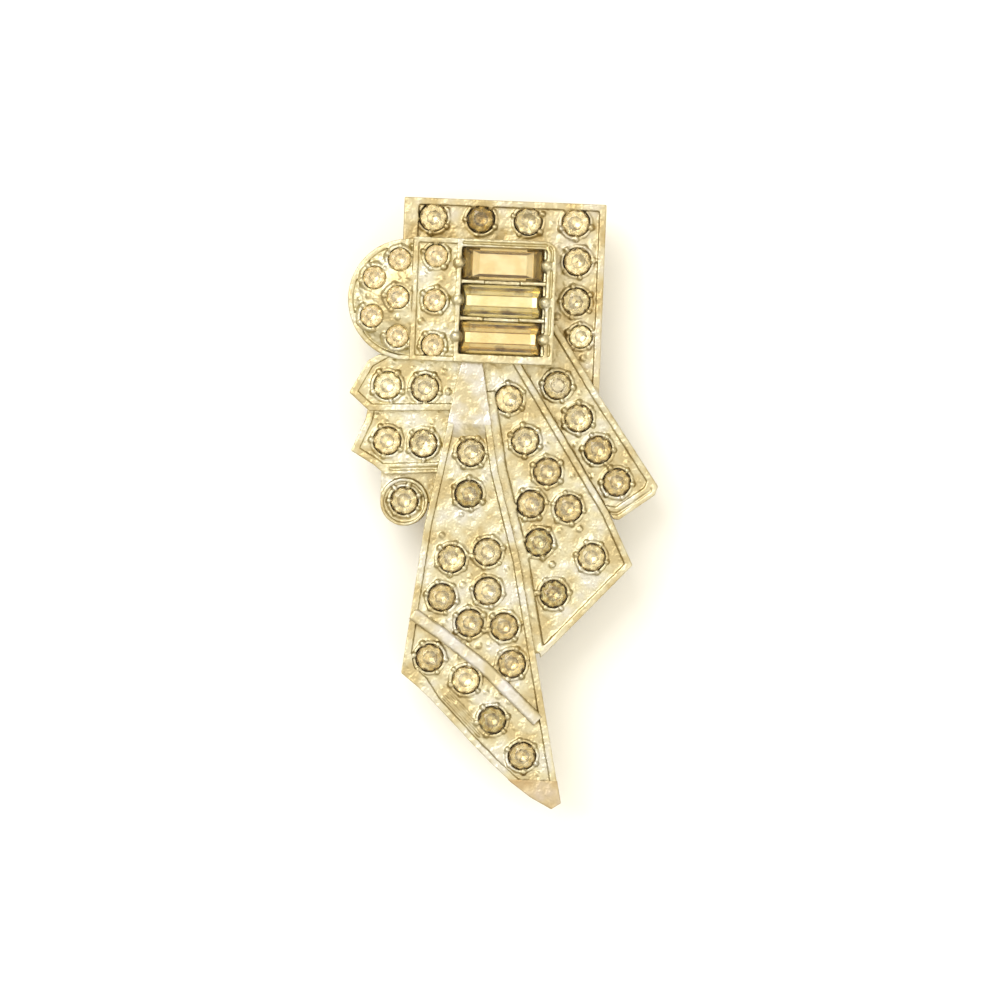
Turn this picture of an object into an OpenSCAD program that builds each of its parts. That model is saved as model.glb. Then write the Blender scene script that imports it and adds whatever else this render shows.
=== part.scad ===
// Dress clip of ribbons and tabs in cast metal, set with round stones and three baguettes.
// It lies on its back, on the lever of the hidden clip. +Z is the front, +Y the upper end as worn.
// All sizes are in millimetres, and the origin is the middle of the outline, on the surface below.

/* [Casting] */
// Height of the casting's flat back above the surface
back_z = 4.2; // [3.6:0.1:6]
// Width of the raised rim along a ribbon's edge
rim_w = 0.6; // [0.4:0.05:0.9]
// Depth of a ribbon's sunk field below its rims
field_sink = 0.35; // [0.2:0.05:0.6]
// Height of the collar round each stone, above its field
collar_h = 0.15; // [0.1:0.05:0.3]
// Wall of that collar
collar_wall = 0.22; // [0.15:0.01:0.3]
// Radius of the cast beads that hold a stone at its edge
bead_r = 0.3; // [0.25:0.01:0.32]
// Height of those beads above the collar
bead_h = 0.2; // [0.1:0.05:0.3]

/* [Heights of the layers above the back] */
// L-shaped bar, the lowest layer
bar_top = 2.3; // [2:0.1:2.6]
// Round end under the tabs
round_top = 2.3; // [2:0.1:2.5]
// Lower tab
low_tab_top = 2.6; // [2.4:0.1:2.8]
// Upper tab
high_tab_top = 2.95; // [2.7:0.05:3.2]
// Side ribbon
side_top = 2.75; // [2.5:0.05:2.9]
// Middle ribbon
middle_top = 3.15; // [3:0.05:3.3]
// Long ribbon
long_top = 3.6; // [3.4:0.1:3.8]
// Rim of the half disc at the scroll's left end
scroll_edge_top = 3.3; // [3:0.1:3.6]
// Rise of the half disc's dome above its rim
scroll_rise = 0.9; // [0.6:0.1:1.2]
// Upright band between the half disc and the channel frame
band_top = 4.0; // [3.8:0.1:4.2]
// Channel frame of the baguettes
frame_top = 4.4; // [4.2:0.1:4.8]

/* [Round stones] */
// Radius of the large stones
stone_r = 1.22; // [1.1:0.01:1.25]
// Radius of the small stones
small_r = 1.0; // [0.9:0.01:1.05]
// Space left round and under each stone
stone_gap = 0.06; // [0.04:0.01:0.1]

/* [Baguettes] */
// Length of a baguette
baguette_l = 7.2; // [7:0.1:7.3]
// Width of a baguette
baguette_w = 2.9; // [2.7:0.05:2.95]
// Distance from one baguette's middle to the next
baguette_pitch = 3.3; // [3.25:0.05:3.35]

/* [Hidden clip] */
// Width of the lever that grips the cloth
lever_w = 10.5; // [9:0.5:10.5]
// Thickness of the lever and of the base plate
lever_t = 0.9; // [0.7:0.1:1.1]
// Upper end of the lever, at the hinge barrel's middle
hinge_y = 15; // [13:0.5:16]
// Lower end of the lever, where the teeth are
toe_y = -12; // [-12.5:0.5:-9]
// Distance of the clip's middle line from the outline's middle
clip_x = -1; // [-1:0.1:-0.5]
// Radius of the hinge barrel
barrel_r = 1.5; // [1.2:0.1:1.7]
// Radius of a tooth at its root
tooth_r = 0.7; // [0.5:0.1:0.8]

/* [Hidden] */
$fn = 64;
over = 1; // how far a cut runs past the face that it opens
metal = [0.90, 0.84, 0.72];
smoke = [0.72, 0.66, 0.52];
amber = [0.86, 0.68, 0.38];

// Outlines of the layers, anticlockwise
bar_left = -9.5;
bar_right = 8.6;
bar_upper = 27.1;
bar_leg_end = 10.1;
bar_leg_w = 6;
bar_row_end = 22;
bar = [[bar_left, bar_row_end], [bar_right - bar_leg_w, bar_row_end], [bar_right - bar_leg_w, bar_leg_end],
       [bar_right, bar_leg_end], [bar_right, bar_upper], [bar_left, bar_upper]];
side = [[1.4, 12.6], [10.3, -1.0], [10.8, -1.05], [13.95, 1.3], [14.2, 2.1], [8.75, 9.85], [4.5, 16.3],
        [2.5, 15]];
middle = [[-2.4, 12.8], [4.3, -13.7], [12.2, -5.05], [9.9, -0.4], [1.4, 12.7]];
high_tab = [[-13.75, 9.4], [-11.9, 7.8], [-3.2, 8.2], [-3.2, 12.6], [-11.2, 12.9], [-12.2, 12.3]];
low_tab = [[-13.4, 4.2], [-11.3, 3.0], [-10.3, 2.2], [-4.2, 2.6], [-4.2, 8.4], [-12.05, 8.0], [-12.2, 7.1]];
round_centre = [-8.45, -0.2];
round_r = 2.15;

// The long ribbon's lower edge is a cubic curve from its left corner to its tip
function bezier(p, t) = pow(1 - t, 3) * p[0] + 3 * t * pow(1 - t, 2) * p[1]
    + 3 * t * t * (1 - t) * p[2] + pow(t, 3) * p[3];
long_curve = [[-8.1, -15.5], [-4.1, -18.2], [0.8, -25.1], [5.8, -27.1]];
curve_steps = 8;
long_edge = [for (i = [0:curve_steps]) bezier(long_curve, i / curve_steps)];
long = concat([[-3.8, 12.6], [-6.55, -2.2]], long_edge,
              [[6.6, -26.55], [2.1, -5.0], [-0.2, 3.0], [-2.0, 12.6]]);

scroll_centre = [-8.75, 17.9];
scroll_r = 5.45;
band_left = -8.5;
frame_left = -4.6;
frame_right = 4.3;
frame_low = 12.5;
frame_high = 23.55;
frame_corner_r = 1.0;
baguette_middle = [-0.45, 18.05];

// Round stones: the middle of each, row by row down its layer
bar_row_x = -6.85;
bar_row_y = 25.35;
bar_row_pitch = 4.25;
bar_stones = concat([for (i = [0:3]) [bar_row_x + i * bar_row_pitch, bar_row_y]],
                    [[6.2, 21.9], [6.2, 18.3]]);
bar_small_stone = [6.75, 15.2];
high_tab_stones = [[-10.35, 10.15], [-7.0, 10.05]];
low_tab_stones = [[-10.2, 5.2], [-6.95, 5.1]];
end_stone = [-8.45, -0.1];
side_stones = [[4.85, 10.75], [6.85, 7.9], [8.7, 5.15], [10.5, 2.3]];
middle_stones = [[0.55, 9.35], [2.15, 5.7], [4.25, 3.0], [2.9, 0.05], [6.25, -0.2], [3.75, -3.35],
                 [8.5, -4.5], [5.25, -7.9]];
long_stones = [[-2.65, 4.45], [-2.7, 0.75], [-4.0, -5.1], [-0.8, -4.4], [-4.75, -8.6], [-0.65, -7.9],
               [-2.15, -10.8], [0.95, -11.0], [1.75, -14.3], [-5.6, -14.05], [-2.3, -15.9], [0.2, -19.4],
               [3.0, -22.5]];
scroll_stones = [[-11.9, 19.75], [-12.0, 16.3], [-9.7, 21.45], [-9.75, 18.05], [-9.65, 14.6],
                 [-6.45, 21.9], [-6.45, 17.9], [-6.45, 13.9]];

// Proportions of the stones
table_share = 0.56; // table's radius in a round stone's radius
crown_share = 0.36; // crown's height in that radius
pavilion_share = 0.75; // pavilion's depth in that radius
girdle_h = 0.08; // thickness of a stone's girdle
girdle_sink = 0.05; // how far a girdle sits below its collar's top
baguette_crown = 0.7; // height of a baguette's table above its girdle
baguette_depth = 0.9; // depth of a baguette below its girdle

// Details of the raised layers
channel_sink = 0.5; // how far the rails between the baguettes lie below the frame's rim
channel_end = 0.35; // room in the channel past a baguette's end
groove_from = 0.45; // the fine groove along the frame's upper and right edges
groove_to = 0.7;
scroll_rim = 0.45; // width of the rim round the half disc and the band
band_lap = 0.3; // how far the band runs into the channel frame, short of the baguettes
round_up = 4; // how far the round end runs up under the lower tab
round_reach = 3; // how far it reaches under the long ribbon
side_rim = 1.1; // the side ribbon's wide rim at its lower end
plain_end = 1.3; // plain metal at the left end of the bar
open_side = -over; // a field that runs out under the layer above

// Corners of an outline moved inwards, each side by its own distance
function across(u, v) = u.x * v.y - u.y * v.x;
function meet(p, u, q, v) = p + u * across(q - p, v) / across(u, v);
function inward(u) = [-u.y, u.x] / norm(u);
function moved_in(outline, by) = let (n = len(outline)) [for (i = [0:n - 1])
    let (before = outline[(i + n - 1) % n], here = outline[i], after = outline[(i + 1) % n])
    let (u = here - before, v = after - here)
    meet(here + inward(u) * by[(i + n - 1) % n], u, here + inward(v) * by[i], v)];

// A plate of the casting, whose child is the plan of its sunk field
module plate(outline, top) {
    difference() {
        linear_extrude(top) polygon(outline);
        translate([0, 0, top - field_sink]) linear_extrude(field_sink + over) children();
    }
}

// Collars to hold round stones of radius r, and the seats bored through them
function field_z(top) = top - field_sink;
function girdle_z(field) = field + collar_h - girdle_sink;
module collars(places, field, r) {
    for (p = places) translate([p.x, p.y, field - over])
        cylinder(h = over + collar_h, r = r + stone_gap + collar_wall);
}

// Four cast beads round each stone. The seat trims them to its own wall.
module beads(places, field, r) {
    out = r + stone_gap + collar_wall / 2;
    for (p = places, turn = [45:90:315])
        translate([p.x + out * cos(turn), p.y + out * sin(turn), field])
            cylinder(h = collar_h + bead_h, r = bead_r);
}
module seats(places, field, r) {
    depth = r * pavilion_share + stone_gap;
    for (p = places) translate([p.x, p.y, girdle_z(field) - depth])
        cylinder(h = depth + over, r = r + stone_gap);
}

// A round stone on the z axis, with its girdle's lower edge at z = 0
function ring(n, r, z, turn) = [for (i = [0:n - 1]) let (a = 360 * i / n + turn) [r * cos(a), r * sin(a), z]];
module round_stone(r) {
    sides = 8;
    half = 180 / sides;
    crown = r * crown_share;
    table_r = r * table_share;
    star_r = r * (table_share + 1) / 2;
    star_z = girdle_h + crown * (r - star_r * cos(half)) / (r - table_r);
    table = ring(sides, table_r, girdle_h + crown, 0);
    stars = ring(sides, star_r, star_z, half);
    upper = ring(2 * sides, r, girdle_h, 0);
    lower = ring(2 * sides, r, 0, 0);
    s = sides;
    g = 2 * sides;
    l = g + 2 * sides;
    tip = l + 2 * sides;
    faces = concat(
        [[for (i = [0:sides - 1]) sides - 1 - i]],
        [for (i = [0:sides - 1]) [i, (i + 1) % sides, s + i]],
        [for (i = [0:sides - 1]) [i, s + i, g + 2 * i, s + (i + sides - 1) % sides]],
        [for (i = [0:sides - 1]) [s + i, g + 2 * i + 1, g + 2 * i]],
        [for (i = [0:sides - 1]) [s + i, g + (2 * i + 2) % (2 * sides), g + 2 * i + 1]],
        [for (i = [0:2 * sides - 1]) let (j = (i + 1) % (2 * sides)) [g + i, g + j, l + j, l + i]],
        [for (i = [0:2 * sides - 1]) [l + i, l + (i + 1) % (2 * sides), tip]]);
    polyhedron(concat(table, stars, upper, lower, [[0, 0, -r * pavilion_share]]), faces);
}
module set_stone(p, field, r) {
    color(smoke) translate([p.x, p.y, back_z + girdle_z(field)]) round_stone(r);
}

// Height of the half disc's dome over a point of it, and the field of each scroll stone
dome_edge_r = scroll_r - scroll_rim;
dome_rise = scroll_rise + field_sink;
dome_r = (pow(dome_edge_r, 2) + pow(dome_rise, 2)) / (2 * dome_rise);
dome_base = scroll_edge_top - field_sink;
dome_middle_z = dome_base + dome_rise - dome_r;
function dome_z(p) = dome_middle_z + sqrt(pow(dome_r, 2) - pow(norm(p - scroll_centre), 2));
function scroll_field(p) = p.x > band_left ? field_z(band_top) : dome_z(p) - collar_h;

module half_disc(r) {
    intersection() {
        translate(scroll_centre) circle(r);
        translate([scroll_centre.x - scroll_r, scroll_centre.y - scroll_r])
            square([band_left - scroll_centre.x + scroll_r, 2 * scroll_r]);
    }
}
module scroll() {
    linear_extrude(dome_base) half_disc(scroll_r);
    difference() {
        linear_extrude(scroll_edge_top) half_disc(scroll_r);
        translate([0, 0, dome_base]) linear_extrude(over + field_sink) half_disc(scroll_r - scroll_rim);
    }
    intersection() {
        translate([0, 0, dome_base - over]) linear_extrude(2 * over + dome_rise) half_disc(dome_edge_r);
        translate([scroll_centre.x, scroll_centre.y, dome_middle_z]) sphere(dome_r);
    }
    band_right = frame_left + band_lap;
    band = [[band_left, frame_low], [band_right, frame_low], [band_right, frame_high],
            [band_left, frame_high]];
    plate(band, band_top) polygon(moved_in(band, [scroll_rim, open_side, scroll_rim, scroll_rim]));
}

// Channel frame of the baguettes, with its upper right corner rounded
module frame_plan(d) {
    r = frame_corner_r;
    w = frame_right - frame_left - d;
    h = frame_high - frame_low - d;
    translate([frame_left, frame_low]) {
        square([w, h + d - r]);
        square([w + d - r, h]);
        translate([w + d - r, h + d - r]) circle(r - d);
    }
}
function baguette_place(i) = baguette_middle + [0, (1 - i) * baguette_pitch];
channel_z = frame_top - channel_sink;
module channel_frame() {
    pocket = [baguette_l, baguette_w] + 2 * stone_gap * [1, 1];
    channel = [baguette_l + 2 * channel_end, 2 * baguette_pitch + pocket.y];
    difference() {
        linear_extrude(frame_top) frame_plan(0);
        translate([0, 0, frame_top - field_sink]) linear_extrude(over) difference() {
            frame_plan(groove_from);
            frame_plan(groove_to);
        }
        translate([baguette_middle.x, baguette_middle.y, channel_z])
            linear_extrude(over) square(channel, center = true);
        for (i = [0:2]) let (p = baguette_place(i))
            translate([p.x, p.y, channel_z - baguette_depth - stone_gap])
                linear_extrude(baguette_depth + over) square(pocket, center = true);
    }
}

// A step-cut baguette, with its girdle's lower edge at z = 0. Each step, from the bottom up, says
// how much shorter and narrower it is than the girdle, and its height.
module baguette() {
    steps = [[2.6, 2.0, -baguette_depth], [1.0, 0.8, -baguette_depth / 2], [0, 0, 0], [0, 0, girdle_h],
             [1.5, 0.55, baguette_crown * 0.7], [2.7, 1.1, baguette_crown]];
    corners = [[-1, -1], [1, -1], [1, 1], [-1, 1]];
    points = [for (s = steps, c = corners)
        [c.x * (baguette_l - s[0]) / 2, c.y * (baguette_w - s[1]) / 2, s[2]]];
    last = 4 * (len(steps) - 1);
    walls = [for (k = [0:4:last - 4], i = [0:3]) let (j = (i + 1) % 4) [k + i, k + 4 + i, k + 4 + j, k + j]];
    polyhedron(points, concat([[0, 1, 2, 3]], walls, [[last + 3, last + 2, last + 1, last]]));
}
module set_baguette(i) {
    p = baguette_place(i);
    color(amber) translate([p.x, p.y, back_z + channel_z]) baguette();
}

// The long ribbon: its field stops short of the plain ends, and a plain fold crosses it
fold_line = [[-8.5, -9.4], [-4.7, -11.8], [-0.8, -14.6], [3.6, -18.65], [6.5, -21.3]];
fold_half = 0.6; // half the fold's width, measured along y
long_field_high = 7;
long_field_low = -24.6;
module long_ribbon() {
    sides_in = [for (p = long) rim_w];
    plate(long, long_top) intersection() {
        polygon(moved_in(long, sides_in));
        translate([-bar_upper, long_field_low]) square([2 * bar_upper, long_field_high - long_field_low]);
    }
    linear_extrude(long_top) intersection() {
        polygon(long);
        polygon(concat([for (p = fold_line) p - [0, fold_half]],
            [for (i = [len(fold_line) - 1:-1:0]) fold_line[i] + [0, fold_half]]));
    }
}

module layers() {
    plate(bar, bar_top) polygon(moved_in(bar, [open_side, open_side, open_side, rim_w, rim_w, plain_end]));
    plate(side, side_top) polygon(moved_in(side,
        [open_side, side_rim, side_rim, side_rim, rim_w, rim_w, open_side, open_side]));
    plate(middle, middle_top) polygon(moved_in(middle, [open_side, rim_w, rim_w, rim_w, open_side]));
    plate(low_tab, low_tab_top) polygon(moved_in(low_tab,
        [rim_w, rim_w, rim_w, open_side, open_side, rim_w, rim_w]));
    plate(high_tab, high_tab_top) polygon(moved_in(high_tab,
        [rim_w, rim_w, open_side, open_side, rim_w, rim_w]));
    difference() {
        linear_extrude(round_top) {
            translate(round_centre) circle(round_r);
            translate([round_centre.x - round_r, round_centre.y]) square([2 * round_r, round_up]);
            translate(round_centre) square([round_reach, round_up]);
        }
        translate([round_centre.x, round_centre.y, field_z(round_top)])
            cylinder(h = over, r = round_r - rim_w / 2);
    }
    long_ribbon();
    scroll();
    channel_frame();
}

// Rows of round stones: name, places, top of the layer that carries them, radius
rows = [["bar_stone", bar_stones, bar_top, stone_r],
        ["bar_small_stone", [bar_small_stone], bar_top, small_r],
        ["high_tab_stone", high_tab_stones, high_tab_top, stone_r],
        ["low_tab_stone", low_tab_stones, low_tab_top, stone_r],
        ["end_stone", [end_stone], round_top, stone_r],
        ["side_stone", side_stones, side_top, stone_r],
        ["middle_stone", middle_stones, middle_top, stone_r],
        ["long_stone", long_stones, long_top, stone_r]];

module setting() {
    color(metal) translate([0, 0, back_z]) difference() {
        union() {
            layers();
            for (row = rows) {
                collars(row[1], field_z(row[2]), row[3]);
                beads(row[1], field_z(row[2]), row[3]);
            }
            for (p = scroll_stones) {
                collars([p], scroll_field(p), small_r);
                beads([p], scroll_field(p), small_r);
            }
        }
        for (row = rows) seats(row[1], field_z(row[2]), row[3]);
        for (p = scroll_stones) seats([p], scroll_field(p), small_r);
    }
}

// The hidden clip: base plate, hinge barrel, lever and two teeth, as one plain piece
base_w = 0.8 * lever_w;
base_l = 12;
tooth_clear = 0.5; // space between the teeth and the casting's back
module back_clip() {
    base_high = back_z - stone_gap;
    tooth_x = lever_w / 4;
    color(metal) translate([clip_x, 0, 0]) {
        translate([-base_w / 2, hinge_y - base_l, base_high - lever_t]) cube([base_w, base_l, lever_t]);
        translate([-base_w / 2, hinge_y - barrel_r, barrel_r])
            cube([base_w, barrel_r, base_high - barrel_r]);
        translate([0, hinge_y, barrel_r])
            rotate([0, 90, 0]) cylinder(h = base_w, r = barrel_r, center = true);
        linear_extrude(lever_t) {
            translate([-lever_w / 2, toe_y + lever_w / 2])
                square([lever_w, hinge_y - toe_y - lever_w / 2]);
            translate([0, toe_y + lever_w / 2]) circle(lever_w / 2);
        }
        for (hand = [-1, 1]) translate([hand * tooth_x, toe_y + 2 * tooth_r, 0])
            cylinder(h = back_z - tooth_clear, r1 = tooth_r, r2 = tooth_r / 4);
    }
}

setting();
back_clip();
for (p = scroll_stones) set_stone(p, scroll_field(p), small_r);
for (i = [0:2])
    set_baguette(i);
for (row = rows, i = [0:len(row[1]) - 1])
    set_stone(row[1][i], field_z(row[2]), row[3]);
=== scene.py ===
# %% [markdown]
# A dress clip of cast ribbons and tabs, set with round foiled stones and three amber baguettes.
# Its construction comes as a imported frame, in metres. This lesson gives it its looks: a casting with
# soft edges, glass, plating, light and a camera. The clip lies on its back, as it does in the photo.

# %% Load the frame
import math
import random

import bmesh
import bpy
from mathutils import Matrix, Vector


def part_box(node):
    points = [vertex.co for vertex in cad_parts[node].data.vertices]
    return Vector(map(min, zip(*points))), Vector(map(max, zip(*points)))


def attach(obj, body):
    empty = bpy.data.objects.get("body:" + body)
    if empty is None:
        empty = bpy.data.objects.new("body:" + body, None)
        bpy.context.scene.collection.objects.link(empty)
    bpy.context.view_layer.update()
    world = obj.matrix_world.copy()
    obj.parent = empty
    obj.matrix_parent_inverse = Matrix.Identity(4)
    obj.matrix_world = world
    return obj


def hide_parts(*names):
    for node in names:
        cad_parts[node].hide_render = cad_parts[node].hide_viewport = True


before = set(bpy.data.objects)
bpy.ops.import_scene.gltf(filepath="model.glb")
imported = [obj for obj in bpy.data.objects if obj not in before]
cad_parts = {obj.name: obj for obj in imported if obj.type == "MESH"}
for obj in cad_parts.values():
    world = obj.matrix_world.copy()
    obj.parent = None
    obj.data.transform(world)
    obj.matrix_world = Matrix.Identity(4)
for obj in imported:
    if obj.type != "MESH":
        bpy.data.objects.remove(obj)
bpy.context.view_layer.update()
MM = 0.001
scene = bpy.context.scene
print("nodes:", len(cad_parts))

# %% [markdown]
# The photo looks straight down at the clip, which lies turned a little clockwise. The clip stays
# straight here and the camera turns instead. A camera without perspective would do, but a long lens
# from far away also keeps the steps between the layers from leaning outwards, and it is a real lens.
# One pixel is 0.09 mm.

# %% Camera
PHOTO_PX = 1000
MM_PER_PX = 0.09
PHOTO_TURN = 2.3  # degrees clockwise
CLIP_MIDDLE_PX = (498.6, 503.4)
CAMERA_HEIGHT = 1.2
SENSOR_MM = 36
NEAREST_SEEN = 0.05

lens = bpy.data.cameras.new("camera")
lens.sensor_width = SENSOR_MM
lens.lens = SENSOR_MM * CAMERA_HEIGHT / (PHOTO_PX * MM_PER_PX * MM)
lens.clip_start = NEAREST_SEEN
camera = bpy.data.objects.new("camera", lens)
turn = math.radians(PHOTO_TURN)
off_x = (PHOTO_PX / 2 - CLIP_MIDDLE_PX[0]) * MM_PER_PX * MM
off_y = (CLIP_MIDDLE_PX[1] - PHOTO_PX / 2) * MM_PER_PX * MM
camera.location = (
    off_x * math.cos(turn) - off_y * math.sin(turn),
    off_x * math.sin(turn) + off_y * math.cos(turn),
    CAMERA_HEIGHT,
)
camera.rotation_euler = (0, 0, turn)
scene.collection.objects.link(camera)
scene.camera = camera
scene.view_settings.view_transform = "Standard"
print("lens:", round(lens.lens), "mm")

# %% [markdown]
# Each layer of the casting is a flat plate with raised rims. Its plan could be a curve, but a list of
# corners is easier to move inwards for the rims. The corners are in millimetres and anticlockwise, and
# a layer's height is measured above the casting's flat back.

# %% Plans and heights of the layers
BACK_Z = 4.2
FIELD_SINK = 0.35
RIM_W = 0.6
LONG_CURVE = ((-8.1, -15.5), (-4.1, -18.2), (0.8, -25.1), (5.8, -27.1))
CURVE_STEPS = 8


def bezier(points, t):
    """The point at t on the cubic curve of four points."""
    weights = ((1 - t) ** 3, 3 * t * (1 - t) ** 2, 3 * t * t * (1 - t), t**3)
    return tuple(sum(w * p[k] for w, p in zip(weights, points)) for k in (0, 1))


long_edge = [bezier(LONG_CURVE, i / CURVE_STEPS) for i in range(CURVE_STEPS + 1)]
PLANS = {
    "bar": [(-9.5, 22), (2.6, 22), (2.6, 10.1), (8.6, 10.1), (8.6, 27.1), (-9.5, 27.1)],
    "side": [(1.4, 12.6), (10.3, -1.0), (10.8, -1.05), (13.95, 1.3), (14.2, 2.1), (8.75, 9.85),
             (4.5, 16.3), (2.5, 15)],
    "middle": [(-2.4, 12.8), (4.3, -13.7), (12.2, -5.05), (9.9, -0.4), (1.4, 12.7)],
    "high_tab": [(-13.75, 9.4), (-11.9, 7.8), (-3.2, 8.2), (-3.2, 12.6), (-11.2, 12.9), (-12.2, 12.3)],
    "low_tab": [(-13.4, 4.2), (-11.3, 3.0), (-10.3, 2.2), (-4.2, 2.6), (-4.2, 8.4), (-12.05, 8.0),
                (-12.2, 7.1)],
    "long": [(-3.8, 12.6), (-6.55, -2.2), *long_edge, (6.6, -26.55), (2.1, -5.0), (-0.2, 3.0),
             (-2.0, 12.6)],
}  # fmt: skip
TOPS = {"bar": 2.3, "round": 2.3, "low_tab": 2.6, "side": 2.75, "high_tab": 2.95, "middle": 3.15,
        "scroll": 3.3, "long": 3.6, "band": 4.0, "channel": 4.4}  # fmt: skip


def top_of(name):
    """Height of a layer's rims above the floor."""
    return BACK_Z + TOPS[name]


print("long ribbon's corners:", len(PLANS["long"]))

# %% [markdown]
# The seats must fit the stones. Their places could be typed in again, but then they would be wrong as
# soon as a stone moves, so the stones are read from the frame. A node can hold one stone or a field of
# them. Each loose part of its mesh is a stone, whose widest line is its girdle.

# %% Places of the round stones
PAVILION_SHARE = 0.75  # depth below the girdle in a stone's radius


def loose_parts(bm):
    """Lists of the vertices that hang together."""
    left = set(bm.verts)
    parts = []
    while left:
        found = [left.pop()]
        for vert in found:
            for edge in vert.link_edges:
                other = edge.other_vert(vert)
                if other in left:
                    left.remove(other)
                    found.append(other)
        parts.append(found)
    return parts


def stones_of(node_name):
    """Middle, radius and height of the girdle of each round stone of a node, in millimetres."""
    bm = bmesh.new()
    bm.from_mesh(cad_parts[node_name].data)
    bmesh.ops.remove_doubles(bm, verts=bm.verts, dist=0.001 * MM)
    stones = []
    for part in loose_parts(bm):
        low = [min(v.co[k] for v in part) / MM for k in range(3)]
        high = [max(v.co[k] for v in part) / MM for k in range(3)]
        r = (high[0] - low[0]) / 2
        middle = ((low[0] + high[0]) / 2, (low[1] + high[1]) / 2)
        stones.append((middle, r, low[2] + PAVILION_SHARE * r))
    bm.free()
    return sorted(stones)


ROUND_NODES = sorted(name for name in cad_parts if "_stone" in name)
STONES = {name: stones_of(name) for name in ROUND_NODES}


def stones_on(layer):
    """All round stones on a layer."""
    return [s for name in ROUND_NODES if name.startswith(layer + "_") for s in STONES[name]]


print("round stones:", sum(len(found) for found in STONES.values()))

# %% [markdown]
# The casting was poured, tumbled and plated, so its edges are a little round and its beads melt into
# the plates. It could be sculpted, but exact plans are quicker: simple closed solids are laid over
# each other first and melted together later. These two helpers make new plans from old ones.

# %% Plans from plans
def moved_in(plan, by):
    """The plan with each side moved inwards by its own distance."""
    out = []
    for i, here in enumerate(plan):
        before, after = plan[i - 1], plan[(i + 1) % len(plan)]
        u = Vector(here) - Vector(before)
        v = Vector(after) - Vector(here)
        p = Vector(here) + Vector((-u.y, u.x)).normalized() * by[i - 1]
        q = Vector(here) + Vector((-v.y, v.x)).normalized() * by[i]
        out.append(tuple(p + u * (q - p).cross(v) / u.cross(v)))
    return out


def circle(middle, r, start=0.0, end=360.0, steps=48):
    """Points on an arc, anticlockwise, without a second point where a circle closes."""
    count = steps if end - start >= 360 else steps + 1
    angles = [math.radians(start + (end - start) * i / steps) for i in range(count)]
    return [(middle[0] + r * math.cos(a), middle[1] + r * math.sin(a)) for a in angles]


print("a circle has", len(circle((0, 0), 1)), "points")

# %% [markdown]
# Apart from the scroll's dome, five kinds of solid are enough for the casting: an upright prism, a
# strip along a plan's side, a profile carried along a line, a profile turned round, and a bead. All
# are in millimetres.

# %% Solids for the casting
def add_prism(bm, plan, low, high):
    """A closed prism over a plan."""
    lower = [bm.verts.new((x, y, low)) for x, y in plan]
    upper = [bm.verts.new((x, y, high)) for x, y in plan]
    for i in range(len(plan)):
        j = (i + 1) % len(plan)
        bm.faces.new((lower[i], lower[j], upper[j], upper[i]))
    bm.faces.new(upper)
    bm.faces.new(lower[::-1])


def add_strips(bm, plan, near, far, low, high):
    """A raised strip along each side of a plan, from its near to its far distance inwards."""
    outer, inner = moved_in(plan, near), moved_in(plan, far)
    for i in range(len(plan)):
        j = (i + 1) % len(plan)
        if far[i] > near[i]:
            add_prism(bm, [outer[i], outer[j], inner[j], inner[i]], low, high)


def add_sweep(bm, line, profile):
    """A closed profile of (distance to the left, height) carried along a line of points."""
    rings = []
    for i, here in enumerate(line):
        before, after = line[max(i - 1, 0)], line[min(i + 1, len(line) - 1)]
        along = (Vector(after) - Vector(before)).normalized()
        left = Vector((-along.y, along.x))
        rings.append([bm.verts.new((*(Vector(here) + left * d), z)) for d, z in profile])
    for ring, following in zip(rings, rings[1:]):
        for k in range(len(profile)):
            j = (k + 1) % len(profile)
            bm.faces.new((ring[k], ring[j], following[j], following[k]))
    bm.faces.new(rings[0])
    bm.faces.new(rings[-1][::-1])


def add_lathe(bm, middle, profile, steps=32):
    """A closed profile of (radius, height) turned round an upright line."""
    rings = [[bm.verts.new((x, y, z)) for x, y in circle(middle, r, steps=steps)] for r, z in profile]
    for k, ring in enumerate(rings):
        following = rings[(k + 1) % len(rings)]
        for i in range(steps):
            j = (i + 1) % steps
            bm.faces.new((ring[i], ring[j], following[j], following[i]))


def add_bead(bm, x, y, z, r):
    """A round cast bead."""
    bmesh.ops.create_icosphere(bm, subdivisions=2, radius=r, matrix=Matrix.Translation((x, y, z)))


test = bmesh.new()
add_prism(test, circle((0, 0), 1), 0, 1)
print("a round prism has", len(test.faces), "faces")
test.free()

# %% [markdown]
# On the real clip the seats are drilled and trimmed for each stone. Only the plates are cut here: a
# boolean takes the seats out of each of them. Each hole could be built into the plan instead, but a
# boolean needs no thought about the faces round it. A seat is a little wider and deeper than its
# stone, and its wall runs up past the face that it opens.

# %% Cut the seats
STONE_GAP = 0.03


def new_object(name, bm):
    """An object of a finished mesh, linked to the scene."""
    bmesh.ops.recalc_face_normals(bm, faces=bm.faces)
    mesh = bpy.data.meshes.new(name)
    bm.to_mesh(mesh)
    bm.free()
    obj = bpy.data.objects.new(name, mesh)
    scene.collection.objects.link(obj)
    return obj


def apply_modifiers(obj):
    """Puts the result of the modifiers into the object's own mesh."""
    graph = bpy.context.evaluated_depsgraph_get()
    mesh = bpy.data.meshes.new_from_object(obj.evaluated_get(graph))
    obj.modifiers.clear()
    obj.data = mesh


def carve(obj, tool, operation="DIFFERENCE"):
    """Cuts an object with another one, which is then deleted."""
    step = obj.modifiers.new("carve", "BOOLEAN")
    step.operation = operation
    step.solver = "EXACT"
    step.object = tool
    apply_modifiers(obj)
    bpy.data.objects.remove(tool)
    return obj


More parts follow.
